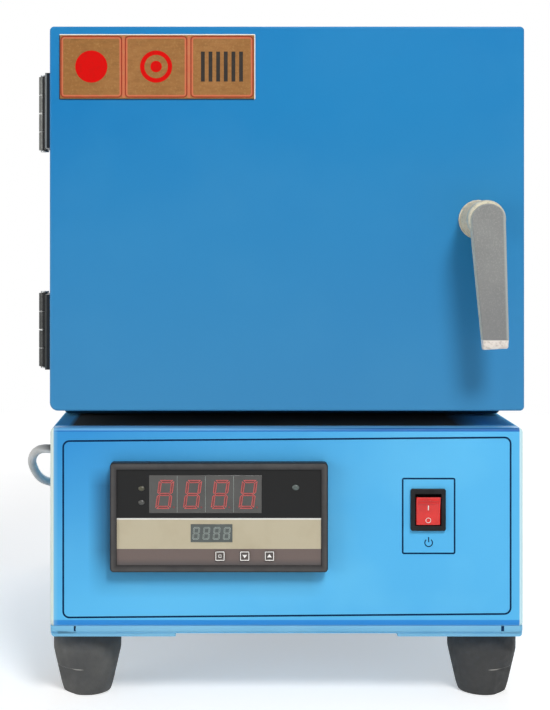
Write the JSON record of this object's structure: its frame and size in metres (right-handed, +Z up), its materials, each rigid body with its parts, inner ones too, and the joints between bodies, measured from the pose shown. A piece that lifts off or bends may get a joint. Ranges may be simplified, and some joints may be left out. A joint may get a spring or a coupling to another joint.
{
  "type": "box furnace",
  "caption": "Bench-top box furnace with a left-hinged door, a turning latch handle, a controller and a rocker switch in a box below, rubber feet and a coiled mains cord.",
  "frame": {"origin": "on the surface the feet stand on, under the middle of the furnace's box, without its cord", "axes": "+Z up; -Y is the front, where the door and the control panel face; +X is to the right of someone who stands in front"},
  "size_m": [0.4142, 0.6376, 0.4986],
  "materials": {
    "blue_paint": "satin powder coat",
    "light_blue_paint": "satin powder coat",
    "foot_rubber": "matte",
    "ceramic_fibre": "matte fibre board",
    "refractory": "matte",
    "heating_wire": "oxidised",
    "porcelain": "unglazed",
    "hinge_steel": "satin",
    "bright_steel": "satin zinc plate",
    "cast_aluminium": "satin, polished on the handle",
    "dark_plastic": "fine grain",
    "faceplate_print": "satin printed film",
    "display_window": "gloss",
    "key_rubber": "matte",
    "black_plastic": "satin",
    "red_lens": "gloss",
    "grey_plastic": "satin",
    "grey_cord": "matte"
  },
  "bodies": {
    "furnace": {"foot_front_left": "foot_rubber", "foot_front_right": "foot_rubber", "foot_rear_left": "foot_rubber", "foot_rear_right": "foot_rubber", "base_tray": "light_blue_paint", "front_panel": "light_blue_paint", "base_cover": "light_blue_paint", "base_rear_panel": "light_blue_paint", "body_front_plate": "blue_paint", "body_wrap": "blue_paint", "body_bottom": "blue_paint", "body_rear_plate": "blue_paint", "terminal_cover": "blue_paint", "insulation_bottom": "ceramic_fibre", "insulation_top": "ceramic_fibre", "insulation_left": "ceramic_fibre", "insulation_right": "ceramic_fibre", "insulation_rear": "ceramic_fibre", "muffle": "refractory", "heating_plate_left": "refractory", "heating_plate_right": "refractory", "muffle_collar": "refractory", "heating_coil_left": "heating_wire", "heating_coil_right": "heating_wire", "thermocouple": "porcelain", "heater_terminal_left": "porcelain", "heater_terminal_right": "porcelain", "hinge_upper_body_leaf": "hinge_steel", "hinge_lower_body_leaf": "hinge_steel", "hinge_pin_upper": "bright_steel", "hinge_pin_lower": "bright_steel", "controller_bezel": "dark_plastic", "controller_faceplate": "faceplate_print", "display_upper": "display_window", "display_lower": "display_window", "controller_housing": "black_plastic", "controller_clamp_left": "bright_steel", "controller_clamp_right": "bright_steel", "switch_frame": "black_plastic", "heat_sink": "cast_aluminium", "solid_state_relay": "grey_plastic", "terminal_block": "black_plastic", "cable_gland": "black_plastic", "power_cord": "grey_cord", "cord_coil": "grey_cord", "power_plug": "grey_cord"},
    "door": {"door_pan": "blue_paint", "door_inner_plate": "blue_paint", "door_brick": "ceramic_fibre", "door_seal": "ceramic_fibre", "hinge_upper_door_leaf": "hinge_steel", "hinge_lower_door_leaf": "hinge_steel", "handle_escutcheon": "cast_aluminium"},
    "handle": {"handle_lever": "cast_aluminium", "latch_spindle": "bright_steel", "latch_tongue": "bright_steel"},
    "set_key": {"key_set": "key_rubber"},
    "down_key": {"key_down": "key_rubber"},
    "up_key": {"key_up": "key_rubber"},
    "rocker": {"switch_rocker": "red_lens"}
  },
  "joints": [
    {"name": "door_hinge", "type": "hinge", "parent": "furnace", "child": "door", "pos_m": [-0.17595, -0.14465, 0.353], "axis": [0, 0, -1], "range_deg": [0, 170]},
    {"name": "handle_turn", "type": "hinge", "parent": "door", "child": "handle", "pos_m": [0.14985, -0.2, 0.3542], "axis": [0, 1, 0], "range_deg": [0, 90]},
    {"name": "set_key_press", "type": "slide", "parent": "furnace", "child": "set_key", "axis": [0, 1, 0], "range_m": [0, 0.0005], "stiffness_N_per_m": 200, "springref_m": -0.001},
    {"name": "down_key_press", "type": "slide", "parent": "furnace", "child": "down_key", "axis": [0, 1, 0], "range_m": [0, 0.0005], "stiffness_N_per_m": 200, "springref_m": -0.001},
    {"name": "up_key_press", "type": "slide", "parent": "furnace", "child": "up_key", "axis": [0, 1, 0], "range_m": [0, 0.0005], "stiffness_N_per_m": 200, "springref_m": -0.001},
    {"name": "power_rocker", "type": "hinge", "parent": "furnace", "child": "rocker", "pos_m": [0.11315, -0.20565, 0.1415], "axis": [-1, 0, 0], "range_deg": [0, 16]}
  ]
}
